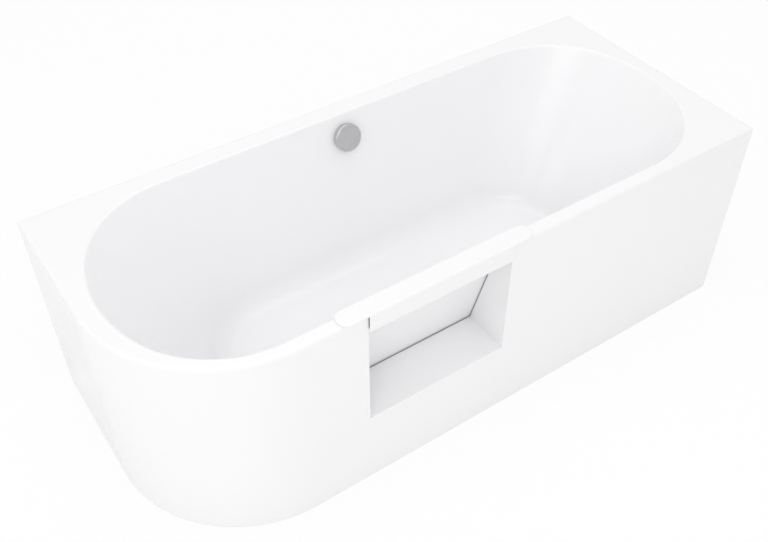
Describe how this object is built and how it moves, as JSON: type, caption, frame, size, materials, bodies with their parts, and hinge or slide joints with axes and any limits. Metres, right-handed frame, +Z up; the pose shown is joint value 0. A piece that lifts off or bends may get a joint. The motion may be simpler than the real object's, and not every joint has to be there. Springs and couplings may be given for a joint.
{
  "type": "walk-in bathtub",
  "caption": "Back-to-wall corner bathtub with an inward-opening door behind a step-in niche in its front apron, an overflow knob and a pop-up waste.",
  "frame": {"origin": "on the floor, under the middle of the whole object's box", "axes": "+X along the bath towards the square end, +Y from the apron to the wall, +Z up"},
  "size_m": [1.7, 0.716, 0.5805],
  "materials": {
    "white_acrylic": "gloss",
    "foam_core": "matte",
    "board": "raw",
    "zinc_steel": "galvanised",
    "stainless": "satin",
    "chrome": "satin chrome",
    "dark_rubber": "matte",
    "seal_rubber": "matte",
    "grey_plastic": "matte",
    "dark_plastic": "matte"
  },
  "bodies": {
    "bath": {"apron_panel": "white_acrylic", "bath_shell": "white_acrylic", "board_screws": "zinc_steel", "cross_bar_left": "zinc_steel", "cross_bar_right": "zinc_steel", "drain_body": "grey_plastic", "drain_flange": "chrome", "drain_gasket": "dark_rubber", "end_bar": "zinc_steel", "end_rail": "zinc_steel", "end_wall_bracket": "zinc_steel", "floor_board": "board", "front_rail": "zinc_steel", "hinge_backing_plate": "zinc_steel", "hinge_bracket_screws": "stainless", "hinge_brackets": "stainless", "hinge_pins": "stainless", "lock_nuts": "zinc_steel", "magnet_keeper": "zinc_steel", "niche_liner": "white_acrylic", "outlet_pipe": "grey_plastic", "overflow_body": "grey_plastic", "overflow_gasket": "dark_rubber", "overflow_pipe": "grey_plastic", "overflow_rosette": "chrome", "plug_cable": "dark_plastic", "rim_clips": "grey_plastic", "sill_beam": "zinc_steel", "sill_posts": "zinc_steel", "trap": "grey_plastic", "wall_bracket_1": "zinc_steel", "wall_bracket_2": "zinc_steel", "wall_bracket_3": "zinc_steel"},
    "door": {"door_outer_skin": "white_acrylic", "door_core": "foam_core", "door_inner_skin": "white_acrylic", "door_seal": "seal_rubber", "rim_cap": "white_acrylic", "cap_core": "foam_core", "cap_magnet": "zinc_steel", "hinge_straps": "stainless", "hinge_bushes": "dark_plastic", "strap_screws": "stainless"},
    "knob": {"overflow_knob": "chrome", "knob_spindle": "chrome"},
    "plug": {"drain_plug": "chrome", "plug_seal": "dark_rubber", "plug_stem": "stainless"},
    "foot_front_left": {"foot_rod_front_left": "zinc_steel", "foot_pad_front_left": "dark_plastic"},
    "foot_front_right": {"foot_rod_front_right": "zinc_steel", "foot_pad_front_right": "dark_plastic"},
    "foot_back_left": {"foot_rod_back_left": "zinc_steel", "foot_pad_back_left": "dark_plastic"},
    "foot_back_right": {"foot_rod_back_right": "zinc_steel", "foot_pad_back_right": "dark_plastic"}
  },
  "joints": [
    {"name": "door_swing", "type": "hinge", "parent": "bath", "child": "door", "pos_m": [0.108, -0.30546, 0.57843], "axis": [0, 0.2639, -0.9646], "range_deg": [0, 75]},
    {"name": "knob_turn", "type": "hinge", "parent": "bath", "child": "knob", "pos_m": [0.0025, 0.28576, 0.512], "axis": [0, -0.9646, 0.2639], "range_deg": [0, 90]},
    {"name": "plug_lift", "type": "slide", "parent": "bath", "child": "plug", "axis": [0, 0, 1], "range_m": [0, 0.012]},
    {"name": "foot_screw_front_left", "type": "slide", "parent": "bath", "child": "foot_front_left", "axis": [0, 0, 1], "range_m": [0, 0.02]},
    {"name": "foot_screw_front_right", "type": "slide", "parent": "bath", "child": "foot_front_right", "axis": [0, 0, 1], "range_m": [0, 0.02]},
    {"name": "foot_screw_back_left", "type": "slide", "parent": "bath", "child": "foot_back_left", "axis": [0, 0, 1], "range_m": [0, 0.02]},
    {"name": "foot_screw_back_right", "type": "slide", "parent": "bath", "child": "foot_back_right", "axis": [0, 0, 1], "range_m": [0, 0.02]}
  ],
  "couplings": [
    {"joint": "plug_lift", "follows": "knob_turn", "m_per_rad": 0.0076}
  ]
}
